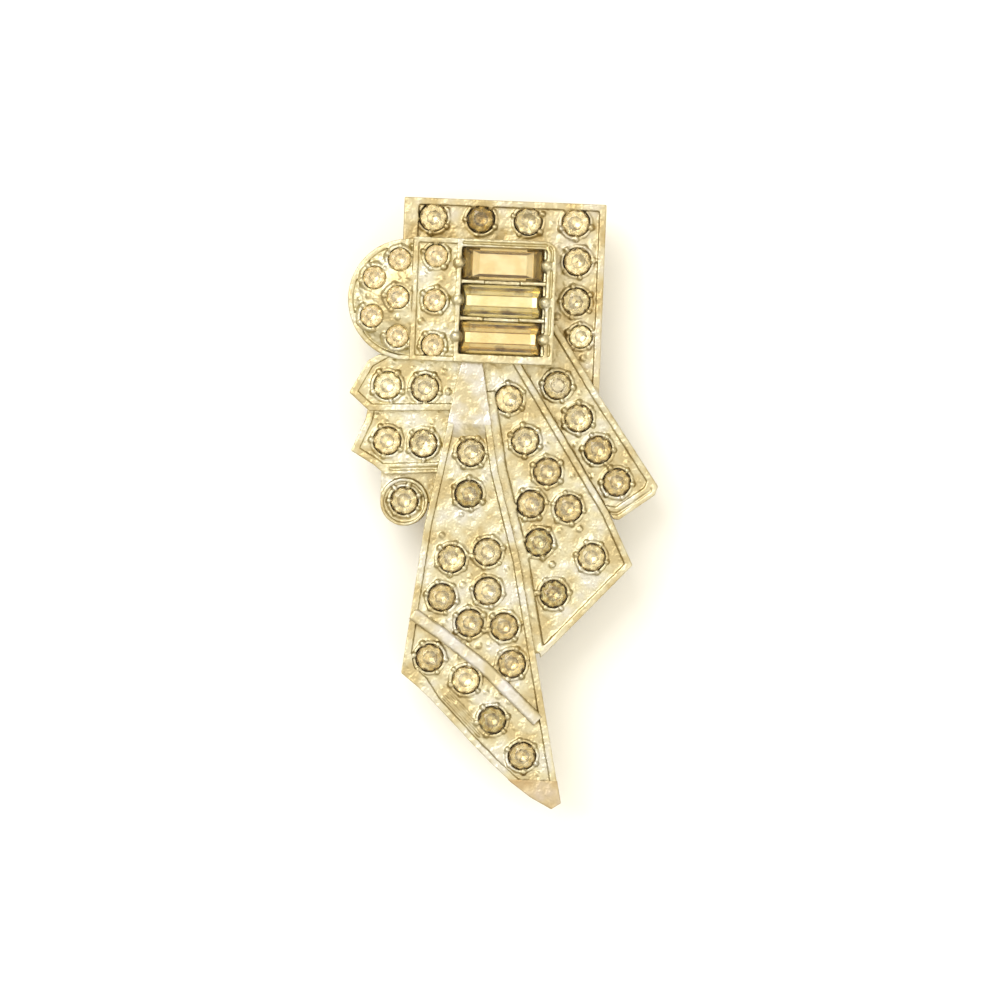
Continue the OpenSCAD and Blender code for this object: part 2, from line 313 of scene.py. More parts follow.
def carve_seats(obj, stones):
    """Bores the seat of each stone."""
    bm = bmesh.new()
    for middle, r, girdle in stones:
        seat = circle(middle, r + STONE_GAP, steps=32)
        add_prism(bm, seat, girdle - PAVILION_SHARE * r - STONE_GAP, girdle + r)
    return carve(obj, new_object("seats", bm)) if stones else obj


print("a seat clears its stone by", STONE_GAP, "mm")

# %% [markdown]
# Bevels would round the edges too, but not where beads, collars and plates run into each other. So
# the melting is a voxel remesh with voxels smaller than a pixel of the photo, a few rounds of
# smoothing, and a decimation that thins the flat places and keeps a share of the faces. A remesh
# can't work this finely in metres, so all of it happens in millimetres, and the result is brought to
# metres at the end. Each melted piece rides on the body and stands for the solid casting.

# %% Melt the solids together
VOXEL = 0.075
SMOOTH_ROUNDS = 3
SMOOTHING = 0.5


def melt(name, parts, material, kept_share, voxel=VOXEL):
    """Fuses solids that overlap into one soft-edged casting that stands for the setting."""
    bm = bmesh.new()
    for part in parts:
        bm.from_mesh(part.data)
        bpy.data.objects.remove(part)
    obj = new_object(name, bm)
    fuse = obj.modifiers.new("fuse", "REMESH")
    fuse.mode = "VOXEL"
    fuse.voxel_size = voxel
    soften = obj.modifiers.new("soften", "SMOOTH")
    soften.factor = SMOOTHING
    soften.iterations = SMOOTH_ROUNDS
    thin = obj.modifiers.new("thin", "DECIMATE")
    thin.ratio = kept_share
    apply_modifiers(obj)
    obj.data.transform(Matrix.Scale(MM, 4))
    obj.data.polygons.foreach_set("use_smooth", [True] * len(obj.data.polygons))
    obj.data.materials.clear()
    obj.data.materials.append(material)
    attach(obj, "root")
    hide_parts("setting")
    print(name, "has", len(obj.data.polygons), "faces")
    return obj


print("voxels:", VOXEL, "mm")

# %% [markdown]
# A material starts from what the real one is. Colours are written as sRGB hex, as a picture shows
# them, and turned to the linear values that a renderer needs.

# %% Helpers for the materials
def linear(hex_colour):
    """The linear colour of an sRGB hex value."""
    parts = [int(hex_colour[i : i + 2], 16) / 255 for i in (1, 3, 5)]
    return [p / 12.92 if p <= 0.04045 else ((p + 0.055) / 1.055) ** 2.4 for p in parts] + [1.0]


def add_node(tree, kind, links=(), stops=(), **settings):
    """Adds a node. in_NAME sets an input, other settings a property, and a link is (input, socket).
    The stops of a colour ramp are (position, hex colour)."""
    node = tree.nodes.new(kind)
    for key, value in settings.items():
        if key.startswith("in_"):
            name = key[3:].replace("_", " ")
            node.inputs[int(name) if name.isdigit() else name].default_value = value
        else:
            setattr(node, key, value)
    for k, (position, colour) in enumerate(stops):
        elements = node.color_ramp.elements
        element = elements[k] if k < 2 else elements.new(position)
        element.position = position
        element.color = linear(colour)
    for name, socket in links:
        tree.links.new(socket, node.inputs[name])
    return node


def new_material(name):
    """An empty node material and its tree."""
    material = bpy.data.materials.new(name)
    material.use_nodes = True
    material.node_tree.nodes.clear()
    return material, material.node_tree


print("linear mid grey:", round(linear("#808080")[0], 3))

# %% [markdown]
# The setting is cast white metal under a thin pale gilt plating, rubbed through in places, so that
# the white metal shows. Plated casting shines like a mirror that has been breathed on, and a buffing
# wheel leaves it gently uneven over two or three millimetres. Its skin is lumpy over a millimetre or
# less, as cast metal is, and finely pitted. An occlusion mask darkens the crevices that no cloth
# reaches: partly the tarnish that settles there and partly painted shade, and the lumps fray its
# edge. The scroll, the tabs and the channel frame are the cleanest. The bar is darker, partly from wear
# and partly as painted shade of a low layer, the tip keeps its deepest plating, and the fold and the
# plain upper end get a paler copy of the plating that paints their highlight. The clip behind is
# sheet brass under the same plating, so it is smooth, with hardly a lump. Noise in three dimensions
# draws the rest, because it has no seams and the casting needs no unwrapping.

# %% Gilt white metal
BUFF_MM = 2.4
BUFF_HEIGHT_MM = 0.16
LUMP_MM = 0.9
LUMP_HEIGHT_MM = 0.22
GRAIN_MM = 0.25
PIT_HEIGHT_MM = 0.05
PIT_STRENGTH = 0.5
PIT_ROUGHNESS = (-0.06, 0.12)  # how far the pits change the roughness
TONE_STOPS = (0.38, 0.53, 0.68)  # where in the waves of the buffing each tone lies
CREVICE_SHADE_MM = 0.6
FRAYING = 0.6  # the lumps' share in the tarnish and painted shade
CLEAN_UNSHADED = 1.15  # openness and lumps together, where the metal is clean and carries no painted shade
TARNISHED_AND_SHADED = 0.65  # and where it is fully tarnished and in painted shade


def gilt_metal(name, tones, tarnish_and_shade, roughness, lump_height=LUMP_HEIGHT_MM):
    """Plated cast metal: three tones, from deep plating to bared metal, and a darker colour in the
    crevices, partly tarnishing and partly painted shade.
    """
    material, tree = new_material(name)
    place = add_node(tree, "ShaderNodeTexCoord").outputs["Object"]
    waves = add_node(tree, "ShaderNodeTexNoise", [("Vector", place)],
                     in_Scale=1 / (BUFF_MM * MM), in_Detail=2.0)
    lumps = add_node(tree, "ShaderNodeTexNoise", [("Vector", place)],
                     in_Scale=1 / (LUMP_MM * MM), in_Detail=2.0)
    grain = add_node(tree, "ShaderNodeTexNoise", [("Vector", place)],
                     in_Scale=1 / (GRAIN_MM * MM), in_Detail=2.0)
    plating = add_node(tree, "ShaderNodeValToRGB", [("Fac", waves.outputs["Fac"])],
                       stops=list(zip(TONE_STOPS, tones)))
    # An occlusion mask finds the crevices, which are darkened partly as tarnish and partly as painted
    # shade.
    crevice_shade = add_node(tree, "ShaderNodeAmbientOcclusion", in_Distance=CREVICE_SHADE_MM * MM, samples=8)
    ragged = add_node(tree, "ShaderNodeMath",
                      [(0, lumps.outputs["Fac"]), (2, crevice_shade.outputs["AO"])],
                      operation="MULTIPLY_ADD", in_1=FRAYING)
    tarnish_and_shade_mask = add_node(tree, "ShaderNodeMapRange", [("Value", ragged.outputs["Value"])],
                    in_From_Min=CLEAN_UNSHADED, in_From_Max=TARNISHED_AND_SHADED)
    colour = add_node(tree, "ShaderNodeMix",
                      [("Factor", tarnish_and_shade_mask.outputs["Result"]), (6, plating.outputs["Color"])],
                      data_type="RGBA", in_7=linear(tarnish_and_shade))
    rough = add_node(tree, "ShaderNodeMapRange", [("Value", grain.outputs["Fac"])],
                     in_To_Min=roughness + PIT_ROUGHNESS[0], in_To_Max=roughness + PIT_ROUGHNESS[1])
    buffed = add_node(tree, "ShaderNodeBump", [("Height", waves.outputs["Fac"])],
                      in_Strength=1.0, in_Distance=BUFF_HEIGHT_MM * MM)
    lumpy = add_node(tree, "ShaderNodeBump",
                     [("Height", lumps.outputs["Fac"]), ("Normal", buffed.outputs["Normal"])],
                     in_Strength=1.0, in_Distance=lump_height * MM)
    pitted = add_node(tree, "ShaderNodeBump",
                      [("Height", grain.outputs["Fac"]), ("Normal", lumpy.outputs["Normal"])],
                      in_Strength=PIT_STRENGTH, in_Distance=PIT_HEIGHT_MM * MM)
    shader = add_node(tree, "ShaderNodeBsdfPrincipled",
                      [("Base Color", colour.outputs[2]), ("Roughness", rough.outputs["Result"]),
                       ("Normal", pitted.outputs["Normal"])], in_Metallic=1.0)
    add_node(tree, "ShaderNodeOutputMaterial", [("Surface", shader.outputs["BSDF"])])
    return material


# Each finish's last colour darkens its crevices: tarnish there, and painted shade.
gilt = gilt_metal("gilt_white_metal", ("#B7A77C", "#C7BF9E", "#C9C5B5"), "#BAAC84", 0.36)
clean_gilt = gilt_metal("clean_gilt_white_metal", ("#BCAC80", "#CCC4A2", "#CECAB8"), "#CEC49E", 0.36)
# A darker copy for the bar: partly wear, and partly painted shade of a low layer.
worn_shaded_gilt = gilt_metal("worn_shaded_gilt_white_metal", ("#B4A174", "#C4B893", "#C6BEA8"), "#AE9C72", 0.38)
deep_gilt = gilt_metal("deep_gilt_white_metal", ("#AB9268", "#BAA985", "#BCAE9A"), "#94825A", 0.38, 0.16)
# A paler copy that paints the highlight on the fold and the ribbon's plain upper end.
pale_highlight_metal = gilt_metal("pale_highlight_white_metal", ("#C0B48F", "#CAC5B6", "#D0CDC9"), "#AC9E78", 0.34, 0.16)
clip_plating = gilt_metal("plated_brass_clip",("#CDB484", "#DCCBA2", "#E0D2AE"), "#86683C", 0.28, 0.02)
for finish in (gilt, clean_gilt, worn_shaded_gilt, deep_gilt, pale_highlight_metal, clip_plating):
    print(finish.name, "has", len(finish.node_tree.nodes), "nodes")

# %% [markdown]
# The back of the casting is one flat plate under all the layers. It could be a copy of each layer's
# underside, but those would show their joints. The layers start a little above the plate's face
# instead, so that from behind it looks like the single piece that it is.

# %% Back plate
BACK_PLATE_T = 0.9
BACK_INSET = 0.15
BACK_VOXEL = 0.12  # the plate has no detail, so coarser voxels do
LAYER_LOW = BACK_Z + 0.1
SCROLL_MIDDLE = (-8.75, 17.9)
SCROLL_R = 5.45
BAND_LEFT = -8.5
ROUND_MIDDLE = (-8.45, -0.2)
ROUND_R = 2.15
ROUND_UP = 4.0  # how far the round end runs up under the tab
ROUND_REACH = 3.0  # and to the right, under the long ribbon
FRAME ={"left": -4.6, "right": 4.3, "low": 12.5, "high": 23.55, "corner_r": 1.0}


def box_plan(left, low, right, high):
    """The plan of a rectangle."""
    return [(left, low), (right, low), (right, high), (left, high)]


def half_disc(r):
    """The plan of the scroll's left half, with its straight side towards the band."""
    reach = math.degrees(math.acos((BAND_LEFT - SCROLL_MIDDLE[0]) / r))
    return circle(SCROLL_MIDDLE, r, reach, 360 - reach)


def round_end_plans():
    """The round end as a disc with two blocks that run up under the tab and the long ribbon."""
    x, y = ROUND_MIDDLE
    return [circle(ROUND_MIDDLE, ROUND_R), box_plan(x - ROUND_R, y, x + ROUND_R, y + ROUND_UP),
            box_plan(x, y, x + ROUND_REACH, y + ROUND_UP)]


bm = bmesh.new()
back_plans = [*PLANS.values(), half_disc(SCROLL_R), *round_end_plans(),
              box_plan(BAND_LEFT, FRAME["low"], FRAME["right"], FRAME["high"])]
for plan in back_plans:
    add_prism(bm, moved_in(plan, [BACK_INSET] * len(plan)), BACK_Z, BACK_Z + BACK_PLATE_T)
melt("cast_back", [new_object("back", bm)], gilt, kept_share=0.12, voxel=BACK_VOXEL)

# %% [markdown]
# A stone sits in a collar, and small beads of metal, raised on the casting and pressed down, hold it
# at its edge. No two beads are alike, so each is shifted and sized a little by chance.

# %% Collars and beads
COLLAR_WALL = 0.25
COLLAR_DEPTH = 0.3
COLLAR_SPREAD = 0.22  # how much wider the collar is at its foot
COLLAR_CROWN = 0.03  # how much its top rises to the middle of its wall
GIRDLE_SINK = 0.05
BEAD_R = (0.26, 0.34)
BEAD_REACH = 0.16  # a bead's middle lies this far outside its seat
BEAD_SINK = 0.14
BEAD_SHIFT = 0.12  # the most that a bead is out of place, in the step from bead to bead


def add_collar(bm, stone):
    """The raised ring round a seat."""
    middle, r, girdle = stone
    near = r + STONE_GAP
    far = near + COLLAR_WALL
    top = girdle + GIRDLE_SINK
    low = top - COLLAR_DEPTH
    add_lathe(bm, middle, [(near, low), (far + COLLAR_SPREAD, low), (far, top - COLLAR_CROWN),
                           ((near + far) / 2, top), (near, top - COLLAR_CROWN)])


def add_beads(bm, stone, count, draw):
    """Beads round a stone, a little irregular."""
    (x, y), r, girdle = stone
    phase = draw.uniform(0, 2 * math.pi)
    out = r + STONE_GAP + BEAD_REACH
    z = girdle + GIRDLE_SINK - BEAD_SINK
    for k in range(count):
        a = phase + 2 * math.pi * (k + draw.uniform(-BEAD_SHIFT, BEAD_SHIFT)) / count
        add_bead(bm, x + out * math.cos(a), y + out * math.sin(a), z, draw.uniform(*BEAD_R))


print("collars stand", COLLAR_WALL, "mm thick round the stones")

# %% [markdown]
# Loose beads fill the gaps between the stones. They could be placed by hand, but throwing them and
# keeping the ones that fit gives the same uneven crowd, and a seed gives the same crowd each time.

# %% Loose beads
LOOSE_BEAD_R = (0.32, 0.5)
LOOSE_BEAD_SINK = 0.28
CROWD = 0.4  # loose beads lie no further than this from a collar


def depth_inside(plan, x, y):
    """How far a point lies inside a plan, or a negative distance outside it."""
    inside = False
    nearest = math.inf
    for i, b in enumerate(plan):
        a = plan[i - 1]
        if (a[1] > y) != (b[1] > y) and x < a[0] + (y - a[1]) * (b[0] - a[0]) / (b[1] - a[1]):
            inside = not inside
        side, point = Vector(b) - Vector(a), Vector((x, y)) - Vector(a)
        t = min(max(point.dot(side) / side.length_squared, 0), 1)
        nearest = min(nearest, (point - side * t).length)
    return nearest if inside else -nearest


def add_loose_beads(bm, field_plan, stones, height, tries, draw, reach=CROWD):
    """Beads thrown at a field, kept where they lie close to a collar but clear of it, of the field's
    sides and of each other. The height is a function of the place."""
    collars = [(middle, r + STONE_GAP + COLLAR_WALL) for middle, r, _ in stones]
    beads = []
    xs, ys = zip(*field_plan)
    for _ in range(tries):
        x, y = draw.uniform(min(xs), max(xs)), draw.uniform(min(ys), max(ys))
        r = draw.uniform(*LOOSE_BEAD_R)
        gaps = [math.dist((x, y), middle) - other - r for middle, other in collars + beads]
        close = min(gaps[: len(collars)]) < reach
        if close and min(gaps) > 0 and depth_inside(field_plan, x, y) > r:
            beads.append(((x, y), r))
            add_bead(bm, x, y, height(x, y) - LOOSE_BEAD_SINK, r)
    return len(beads)


print("the middle of a unit box lies", depth_inside([(0, 0), (1, 0), (1, 1), (0, 1)], 0.5, 0.5), "deep")

# %% [markdown]
# The plain layers differ only in plan, height, rims and stones, so one function makes them. A rim
# can have a shallow groove in it, as on the lower end of the side ribbon. An open side has no rim,
# because there the layer runs out under the one above.

# %% Plain layers
OPEN = -1.0
RIM_BELOW = 0.2
GROOVE_DEPTH = 0.16
RIMS = {
    "bar": [OPEN, OPEN, OPEN, RIM_W, RIM_W, 1.3],
    "side": [OPEN, 0.4, 0.4, 0.4, RIM_W, RIM_W, OPEN, OPEN],
    "middle": [OPEN, RIM_W, RIM_W, RIM_W, OPEN],
    "high_tab": [RIM_W, RIM_W, OPEN, OPEN, RIM_W, RIM_W],
    "low_tab": [RIM_W, RIM_W, 0.3, OPEN, OPEN, RIM_W, RIM_W],
}
# A narrow border on the middle ribbon, beside the edge of the long one: a line and a profile
BORDER = [(3.83, -13.3), (2.1, -5.0), (-0.2, 3.0), (-1.5, 9.9)]
BORDER_PROFILE = [(-0.8, -0.5), (0.15, -0.5), (0.15, 0.0), (-0.65, 0.0), (-0.8, -0.1)]
# A second rim inside the first one: the distances where it starts and ends on each side
INNER_RIMS = {
    "side": ([0, 0.65, 0.65, 0.65, 0, 0, 0, 0], [0, 1.1, 1.1, 1.1, 0, 0, 0, 0]),
    "low_tab": ([0, 0, 0.6, 0, 0, 0, 0], [0, 0, 0.95, 0, 0, 0, 0]),
}


def cast_layer(name, material, beads, tries, kept_share, seed):
    """One plain layer of the casting."""
    plan, rims, stones = PLANS[name], RIMS[name], stones_on(name)
    field = top_of(name) - FIELD_SINK
    draw = random.Random(seed)
    bm = bmesh.new()
    add_prism(bm, plan, LAYER_LOW, field)
    slab = carve_seats(new_object(name, bm), stones)
    bm = bmesh.new()
    zero = [0.0] * len(plan)
    outer = [max(w, 0) for w in rims]
    near, far = INNER_RIMS.get(name, (zero, zero))
    add_strips(bm, plan, zero, outer, field - RIM_BELOW, top_of(name))
    add_strips(bm, plan, outer, near, field - RIM_BELOW, top_of(name) - GROOVE_DEPTH)
    add_strips(bm, plan, near, far, field - RIM_BELOW, top_of(name))
    if name == "middle":
        add_sweep(bm, BORDER, [(d, top_of(name) + h) for d, h in BORDER_PROFILE])
    for stone in stones:
        add_collar(bm, stone)
        add_beads(bm, stone, beads, draw)
    inner = moved_in(plan, [max(widths) for widths in zip(outer, far)])
    add_loose_beads(bm, inner, stones, lambda x, y: field, tries, draw)
    return melt("cast_" + name, [slab, new_object(name + "_relief", bm)], material, kept_share)


# The bar gets the darker copy, partly for wear and partly as painted shade.
cast_layer("bar", worn_shaded_gilt, beads=5, tries=400, kept_share=0.3, seed=11)
cast_layer("side", gilt, beads=6, tries=500, kept_share=0.4, seed=12)
cast_layer("middle", gilt, beads=6, tries=160, kept_share=0.35, seed=13)
cast_layer("low_tab", clean_gilt, beads=5, tries=300, kept_share=0.4, seed=14)
cast_layer("high_tab", clean_gilt, beads=5, tries=300, kept_share=0.4, seed=15)

# %% [markdown]
# The round end is a disc with a narrow rim that peeps out under the lower tab. A boolean wants simple
# solids that don't cross each other, so the disc and its two blocks are cut one by one.

# %% Round end
ROUND_RIM = 0.3
field = top_of("round") - FIELD_SINK
slabs = []
for plan in round_end_plans():
    bm = bmesh.new()
    add_prism(bm, plan, LAYER_LOW, field)
    slabs.append(carve_seats(new_object("round", bm), stones_on("end")))
bm = bmesh.new()
add_lathe(bm, ROUND_MIDDLE, [(ROUND_R - ROUND_RIM, field - RIM_BELOW), (ROUND_R, field - RIM_BELOW),
                             (ROUND_R, top_of("round")), (ROUND_R - ROUND_RIM, top_of("round"))])
for stone in stones_on("end"):
    add_collar(bm, stone)
    add_beads(bm, stone, 7, random.Random(16))
melt("cast_round_end", [*slabs, new_object("round_relief", bm)], gilt, kept_share=0.5)

# %% [markdown]
# Both ends of the long ribbon are plain, so its stones and loose beads keep to a field between them.
# Two more helpers are needed for it: one keeps a stretch of a plan, and one lifts a profile.

# %% Stretches and lifts
def clipped(plan, low, high):
    """The part of a plan between two heights on the page."""
    for level, sign in ((low, 1), (high, -1)):
        out = []
        for i, b in enumerate(plan):
            a = plan[i - 1]
            da, db = sign * (a[1] - level), sign * (b[1] - level)
            if da * db < 0:
                out.append(tuple(Vector(a).lerp(Vector(b), da / (da - db))))
            if db >= 0:
                out.append(b)
        plan = out
    return plan


def lifted(profile, z):
    """A profile moved up to a height."""
    return [(d, h + z) for d, h in profile]


print("the ribbon's upper end has", len(clipped(PLANS["long"], 7, math.inf)), "corners")

# %% [markdown]
# The long ribbon carries more stones than any other. A plain border widens round its lower left
# corner. Fine lines are engraved along its lower edge, and what is built of them are the narrow
# ridges that they leave.

# %% Long ribbon
FIELD_HIGH = 7.0
FIELD_LOW = -24.6
ENGRAVED_INSETS = (0.95, 1.3, 1.65)
ENGRAVED_SPAN = (4, 7)  # the corners of the plan between which the lines run
ENGRAVED_RIDGE = [(-0.16, -0.2), (0.16, -0.2), (0.05, 0.12), (-0.05, 0.12)]
PLAIN_CORNER = 1.1  # width of the plain border round the ribbon's lower left corner
PLAIN_SPAN = (2, 4)  # the corners of the plan between which it runs before it narrows again
PLAIN_START = 0.12  # it starts to widen this share of the left side above the corner

plan, top = PLANS["long"], top_of("long")
field = top - FIELD_SINK
rims = [RIM_W] * len(plan)
bm = bmesh.new()
add_prism(bm, plan, LAYER_LOW, field)
slab = carve_seats(new_object("long", bm), stones_on("long"))
bm = bmesh.new()
add_strips(bm, plan, [0.0] * len(plan), rims, field - RIM_BELOW, top)
first, last = PLAIN_SPAN
inner = moved_in(plan, rims)
start = [Vector(side[first]).lerp(Vector(side[first - 1]), PLAIN_START) for side in (plan, inner)]
border = [start[0], *plan[first : last + 1], inner[last]]
border += moved_in(plan, [PLAIN_CORNER] * len(plan))[first:last][::-1] + [start[1]]
add_prism(bm, border, field - RIM_BELOW, top)
for inset in ENGRAVED_INSETS:
    line = moved_in(plan, [inset] * len(plan))[slice(*ENGRAVED_SPAN)]
    add_sweep(bm, line, lifted(ENGRAVED_RIDGE, field))
draw = random.Random(17)
for stone in stones_on("long"):
    add_collar(bm, stone)
    add_beads(bm, stone, 6, draw)
inner = clipped(inner, FIELD_LOW, FIELD_HIGH)
count = add_loose_beads(bm, inner, stones_on("long"), lambda x, y: field, tries=1200, draw=draw)
melt("cast_long_ribbon", [slab, new_object("long_relief", bm)], gilt, kept_share=0.3)
print("loose beads on the long ribbon:", count)

# %% [markdown]
# The ribbon is folded over once, and a plain crowned fold crosses it there. The fold and the plain
# upper end stand highest, and they get a paler copy of the plating that paints the highlight on them,
# while the plain tip keeps deep plating. The ends are covers over the ribbon and stand a hair proud of
# it on all sides, because two surfaces in one place would flicker through each other.

# %% The ribbon's tip, upper end and fold
FOLD = [(-7.3, -10.15), (-4.7, -11.8), (-0.8, -14.6), (2.9, -18.0), (4.3, -19.3)]
FOLD_PROFILE = [(-0.6, -0.4), (0.6, -0.4), (0.6, -0.04), (0.4, 0.08), (-0.4, 0.1), (-0.6, -0.02)]
PLAIN_END = [(-4.8, FIELD_HIGH), (-1.0, FIELD_HIGH)]  # across the ribbon, where the plain end slopes down
END_SLOPE = [(-1.3, -0.6), (0.2, -0.6), (0.2, 0.0), (0.0, 0.0), (-1.3, -FIELD_SINK)]
PLAIN_LIFT = 0.02  # how far the covers stand above the ribbon
PLAIN_PROUD = 0.04  # and how far past its sides
cover = moved_in(plan, [-PLAIN_PROUD] * len(plan))
tip = clipped(cover, -math.inf, FIELD_LOW)
upper_end = clipped(cover, FIELD_HIGH, math.inf)
bm = bmesh.new()
add_prism(bm, tip, LAYER_LOW - PLAIN_PROUD, top + PLAIN_LIFT)
melt("cast_tip", [new_object("tip", bm)], deep_gilt, kept_share=0.3)
bm = bmesh.new()
add_prism(bm, upper_end, LAYER_LOW - PLAIN_PROUD, top + PLAIN_LIFT)
add_sweep(bm, PLAIN_END, lifted(END_SLOPE, top))
add_sweep(bm, FOLD, lifted(FOLD_PROFILE, top))
# The fold and the plain end get the paler copy of the plating, a painted highlight.
melt("cast_fold_and_end", [new_object("fold", bm)], pale_highlight_metal, kept_share=0.3)

# %% [markdown]
# The scroll is a low dome over a half disc. A flattened ball would look much the same, but the beads
# that lie on the dome must know its height. That comes from the ball that the dome is a cap of. The
# dome is a turned solid, cut straight where the band covers it.

# %% The scroll's dome
SCROLL_RIM = 0.45
SCROLL_RISE = 0.9
DOME_RINGS = 12
DOME_DEPTH = 1.0  # how far the turned solid reaches down into the slab
CUTTER_DEPTH = 0.5  # and how far the part that is kept of it does
TIP_R = 0.02
edge_r = SCROLL_R - SCROLL_RIM
dome_base = top_of("scroll") - FIELD_SINK
dome_rise = SCROLL_RISE + FIELD_SINK
ball_r = (edge_r**2 + dome_rise**2) / (2 * dome_rise)


def dome_z(x, y):
    """Height of the dome at a place."""
    away = math.dist((x, y), SCROLL_MIDDLE)
    return dome_base + dome_rise - ball_r + math.sqrt(ball_r**2 - away**2)


bm = bmesh.new()
radii = [edge_r * (1 - k / DOME_RINGS) for k in range(DOME_RINGS)] + [TIP_R]
heights = [dome_z(SCROLL_MIDDLE[0] + r, SCROLL_MIDDLE[1]) for r in radii]
rings = []
for r, z in [(edge_r, dome_base - DOME_DEPTH), *zip(radii, heights)]:
    rings.append([bm.verts.new((x, y, z)) for x, y in circle(SCROLL_MIDDLE, r)])
for ring, following in zip(rings, rings[1:]):
    for i in range(len(ring)):
        j = (i + 1) % len(ring)
        bm.faces.new((ring[i], ring[j], following[j], following[i]))
bm.faces.new(rings[0][::-1])
bm.faces.new(rings[-1])
dome = new_object("dome", bm)
bm = bmesh.new()
add_prism(bm, half_disc(edge_r), dome_base - CUTTER_DEPTH, dome_base + 2 * dome_rise)
dome = carve_seats(carve(dome, new_object("half", bm), "INTERSECT"), stones_on("scroll"))
print("dome rises", round(dome_rise, 2), "mm")

# %% [markdown]
# A thin rim runs round the scroll, and an upright band with rims of its own stands beside it. The
# stones sit at different heights, so each collar follows its own girdle, and the field between them
# is crowded with beads.

# %% The scroll's band, rims and beads
BAND_RIM_DEPTH = 0.6
BAND_RIDGE = (-9.0, 22.3, 23.2)  # x and the two ends of a thin ridge beside the band's left rim
RIDGE = [(-0.14, -0.2), (0.14, -0.2), (0.1, 0.24), (-0.1, 0.24)]
RIDGE_LIFT = 0.15
BAND_LAP = 0.3  # how far the band runs into the channel frame, short of the baguettes
BEAD_LAP = 0.55  # how far its field of loose beads does
SCROLL_REACH = 2  # the loose beads lie further from the collars here, so that they fill the whole field
band = box_plan(BAND_LEFT, FRAME["low"], FRAME["left"] + BAND_LAP, FRAME["high"])
band_field = top_of("band") - FIELD_SINK
stones = stones_on("scroll")
bm = bmesh.new()
add_prism(bm, half_disc(SCROLL_R), LAYER_LOW, dome_base)
add_prism(bm, band, LAYER_LOW, band_field)
slab = carve_seats(new_object("scroll_slab", bm), stones)
bm = bmesh.new()
add_prism(bm, half_disc(SCROLL_R) + half_disc(edge_r)[::-1], dome_base - RIM_BELOW, top_of("scroll"))
band_rims = [SCROLL_RIM, 0, SCROLL_RIM, SCROLL_RIM]
add_strips(bm, band, [0.0] * 4, band_rims, top_of("band") - BAND_RIM_DEPTH, top_of("band"))
x, low, high = BAND_RIDGE
add_sweep(bm, [(x, low), (x, high)], lifted(RIDGE, dome_base + RIDGE_LIFT))
draw = random.Random(18)
for stone in stones:
    add_collar(bm, stone)
    add_beads(bm, stone, 5, draw)
inner = box_plan(BAND_LEFT + SCROLL_RIM, FRAME["low"] + SCROLL_RIM,
                 FRAME["left"] + BEAD_LAP, FRAME["high"] - SCROLL_RIM)
count = add_loose_beads(bm, half_disc(edge_r), stones, dome_z, 1500, draw, SCROLL_REACH)
count += add_loose_beads(bm, inner, stones, lambda x, y: band_field, 500, draw, SCROLL_REACH)
melt("cast_scroll", [slab, dome, new_object("scroll_relief", bm)], clean_gilt, kept_share=0.35)
print("loose beads on the scroll:", count)

# %% [markdown]
# The channel frame holds the baguettes one above the other. One pocket for all three would be simpler,
# but each gets a pocket of its own, a little larger than the stone, so that metal is left between them
# to carry the rails.

# %% Channel frame
CHANNEL_SINK = 0.5
POCKET_ABOVE = 1.0  # how far the pockets' cutters stand above the stones
CORNER_STEPS = 6
BAGUETTES = sorted(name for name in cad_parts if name.startswith("baguette"))


def frame_plan():
    """The plan of the channel frame, with a rounded upper right corner."""
    r = FRAME["corner_r"]
    corner = circle((FRAME["right"] - r, FRAME["high"] - r), r, 0, 90, CORNER_STEPS)
    return [(FRAME["left"], FRAME["low"]), (FRAME["right"], FRAME["low"]), *corner,
            (FRAME["left"], FRAME["high"])]


def baguette_box(name):
    """The corners of a baguette's box in millimetres."""
    return [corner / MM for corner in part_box(name)]


channel_z = top_of("channel") - CHANNEL_SINK
boxes = sorted((baguette_box(name) for name in BAGUETTES), key=lambda box: box[0].y)
bm = bmesh.new()
add_prism(bm, frame_plan(), LAYER_LOW, channel_z)
slab = new_object("channel", bm)
bm = bmesh.new()
gap = STONE_GAP
for low, high in boxes:
    pocket = box_plan(low.x - gap, low.y - gap, high.x + gap, high.y + gap)
    add_prism(bm, pocket, low.z - gap, high.z + POCKET_ABOVE)
slab = carve(slab, new_object("pockets", bm))
print("pockets:", len(boxes))

# %% [markdown]
# Along the frame's upper and right edges run two rims with a groove between them. A low rail parts
# the baguettes and stands up as a claw at both of its ends, and round prongs press on the stones.

# %% The channel's rims, rails and prongs
RIM_DEPTH = 0.8
LIP_W = 0.28
GROOVE_END = 0.5  # where the groove ends and the second rim starts
UPPER_RIM_END = 0.74
RIGHT_RIM_END = 0.85
GROOVE_SINK = 0.25
LOW_RIM_W = 0.74
LEFT_RIM_W = 0.45
PRONG_R = 0.62
PRONG_OUT = 0.34  # a prong's middle lies this far past the stone's end
PRONG_LIFT = 0.15
RAIL = [(-0.2, -0.5), (0.2, -0.5), (0.2, -0.05), (-0.2, -0.05)]
CLAW = [(-0.14, -0.5), (0.2, -0.5), (0.2, 0.28), (-0.14, 0.28)]
CLAW_REACH = 2.0  # how far the claws at a rail's ends reach over the stones


def frame_widths(below, right, upper, left):
    """One width for each side of the frame's plan. The corner has the upper side's width."""
    return [below, right, *[upper] * (CORNER_STEPS + 1), left]


